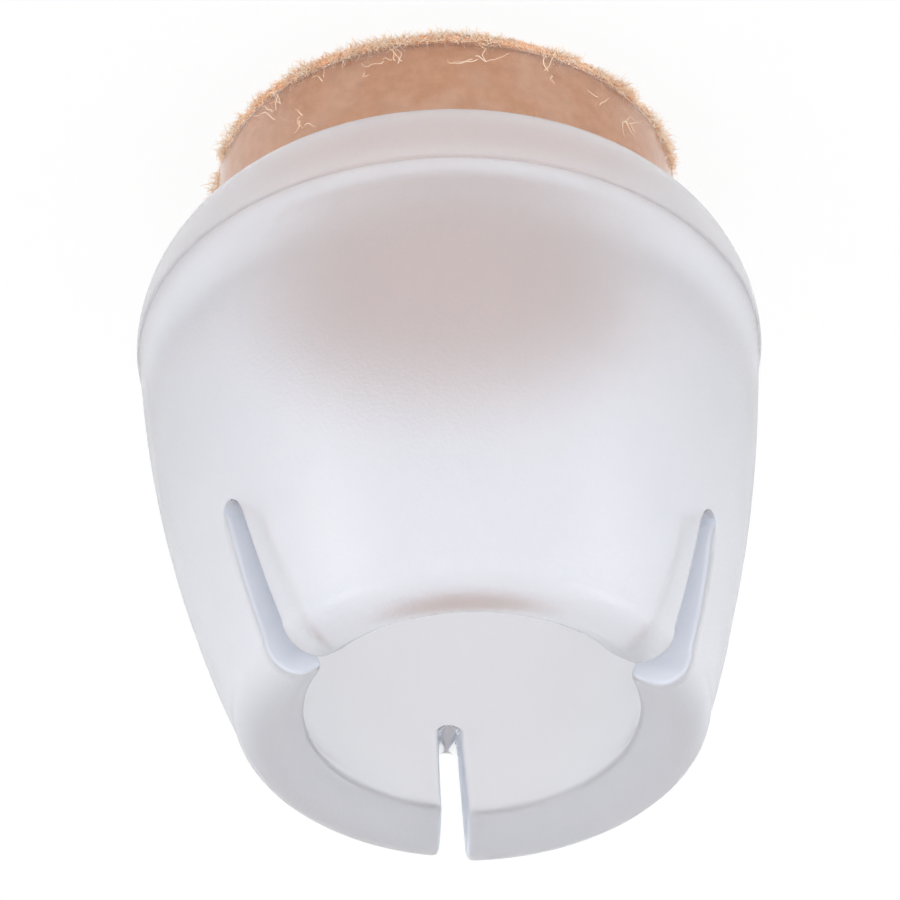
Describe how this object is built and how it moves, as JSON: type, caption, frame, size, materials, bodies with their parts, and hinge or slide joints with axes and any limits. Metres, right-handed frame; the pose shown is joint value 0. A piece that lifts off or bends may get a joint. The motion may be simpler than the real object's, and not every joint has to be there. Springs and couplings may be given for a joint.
{
  "type": "chair leg cap",
  "caption": "Translucent soft slip-on cap for a round chair leg: bell-shaped sleeve with slit lips that grip the leg, closed base cup, and a felt foot that slides on the floor.",
  "frame": {"origin": "centre of the felt's underside, where the cap stands on the floor", "axes": "+Z along the cap's axis, from the felt to the mouth that takes the leg; +Y through one of the slits"},
  "size_m": [0.032, 0.032, 0.0355],
  "materials": {
    "sleeve": "frosted translucent elastomer, moulded with a fine matt grain",
    "base_cup": "smooth clear soft plastic, moulded",
    "felt": "pressed tan felt with loose fibres at its cut edge",
    "adhesive": "pressure-sensitive adhesive film"
  },
  "bodies": {
    "cap": {"base_cup": "base_cup", "sleeve": "sleeve", "adhesive_disc": "adhesive", "felt_pad": "felt"},
    "lip_1": {"grip_lip_1": "sleeve"},
    "lip_2": {"grip_lip_2": "sleeve"},
    "lip_3": {"grip_lip_3": "sleeve"}
  },
  "joints": [
    {"name": "lip_1_flex", "type": "hinge", "parent": "cap", "child": "lip_1", "pos_m": [-0.01183, 0.00683, 0.02735], "axis": [-0.5, -0.866, 0], "range_deg": [0, 12], "stiffness_Nm_per_rad": 0.12},
    {"name": "lip_2_flex", "type": "hinge", "parent": "cap", "child": "lip_2", "pos_m": [0, -0.01366, 0.02735], "axis": [1, 0, 0], "range_deg": [0, 12], "stiffness_Nm_per_rad": 0.12},
    {"name": "lip_3_flex", "type": "hinge", "parent": "cap", "child": "lip_3", "pos_m": [0.01183, 0.00683, 0.02735], "axis": [-0.5, 0.866, 0], "range_deg": [0, 12], "stiffness_Nm_per_rad": 0.12}
  ]
}
